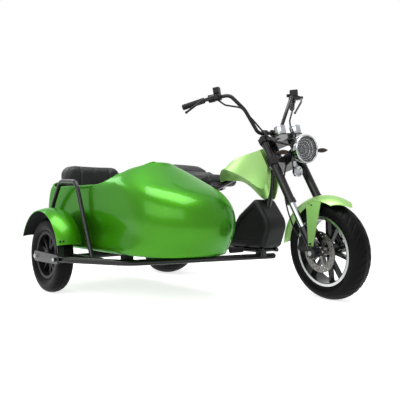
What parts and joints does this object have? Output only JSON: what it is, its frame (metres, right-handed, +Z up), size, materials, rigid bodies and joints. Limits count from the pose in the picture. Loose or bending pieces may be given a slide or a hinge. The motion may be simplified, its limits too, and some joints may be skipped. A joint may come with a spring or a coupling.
{
  "type": "electric motorcycle with sidecar",
  "caption": "Low chopper-style electric motorcycle with a raked fork, wide bars and an open one-seat sidecar on its right side; steers and rolls on its wheels.",
  "frame": {"origin": "on the ground, at the middle of the whole vehicle's box", "axes": "+X forward, +Y to the rider's left (the sidecar is on -Y), +Z up"},
  "size_m": [1.975, 1.5957, 1.2357],
  "materials": {
    "green_paint": "gloss",
    "pale_green_paint": "gloss",
    "black_paint": "gloss",
    "black_plastic": "satin",
    "grey_plastic": "satin",
    "leather": "satin",
    "tyre": "matte",
    "rubber": "matte",
    "chrome": "polished",
    "steel": "brushed",
    "cast_black": "satin",
    "clear_glass": "gloss",
    "red_lens": "gloss",
    "gauge_face": "satin"
  },
  "bodies": {
    "chassis": {"battery_case": "grey_plastic", "body_mounts": "rubber", "down_tube": "black_paint", "fender_stays": "black_paint", "foot_pegs": "rubber", "grab_hoop": "black_paint", "head_and_spine": "black_paint", "lower_frame": "black_paint", "passenger_backrest": "leather", "passenger_cushion": "leather", "pillion_seat": "leather", "rear_and_sidecar_axles": "steel", "rear_arms": "black_paint", "rear_fender": "black_paint", "rear_shocks": "black_paint", "rider_seat": "leather", "seat_frame": "black_paint", "sidecar_axle_plate": "black_paint", "sidecar_body": "green_paint", "sidecar_brace": "black_paint", "sidecar_cross_tubes": "black_paint", "sidecar_fender": "green_paint", "sidecar_rails": "black_paint", "tail_lamp": "red_lens", "tank_cover": "pale_green_paint"},
    "fork": {"brake_levers": "black_paint", "brake_perches": "cast_black", "control_cables": "black_plastic", "fork_lugs": "black_paint", "fork_sleeves": "black_paint", "fork_stanchions": "chrome", "front_axle": "steel", "front_caliper": "cast_black", "front_fender": "pale_green_paint", "front_signals": "black_plastic", "gauge_cups": "chrome", "gauge_faces": "gauge_face", "gauge_plate": "black_paint", "grips": "rubber", "handlebar": "black_paint", "headlamp_glass": "clear_glass", "headlamp_shell": "chrome", "horn": "chrome", "lamp_bracket": "black_paint", "lower_clamp": "black_paint", "switch_pods": "black_plastic", "upper_clamp": "black_paint"},
    "front_wheel": {"front_brake_disc": "steel", "front_tyre": "tyre", "front_wheel_casting": "cast_black"},
    "rear_wheel": {"rear_tyre": "tyre", "rear_wheel_motor": "cast_black"},
    "sidecar_wheel": {"sidecar_tyre": "tyre", "sidecar_wheel_casting": "cast_black"}
  },
  "joints": [
    {"name": "steering", "type": "hinge", "parent": "chassis", "child": "fork", "pos_m": [0.67104, 0.35, 0.232], "axis": [-0.5, 0, 0.866], "range_deg": [-28, 48]},
    {"name": "front_spin", "type": "hinge", "parent": "fork", "child": "front_wheel", "pos_m": [0.72221, 0.33958, 0.26154], "axis": [0.1504, 0.9848, 0.0868], "continuous": true},
    {"name": "rear_spin", "type": "hinge", "parent": "chassis", "child": "rear_wheel", "pos_m": [-0.737, 0.35, 0.238], "axis": [0, 1, 0], "continuous": true},
    {"name": "sidecar_spin", "type": "hinge", "parent": "chassis", "child": "sidecar_wheel", "pos_m": [-0.447, -0.69, 0.215], "axis": [0, 1, 0], "continuous": true}
  ]
}
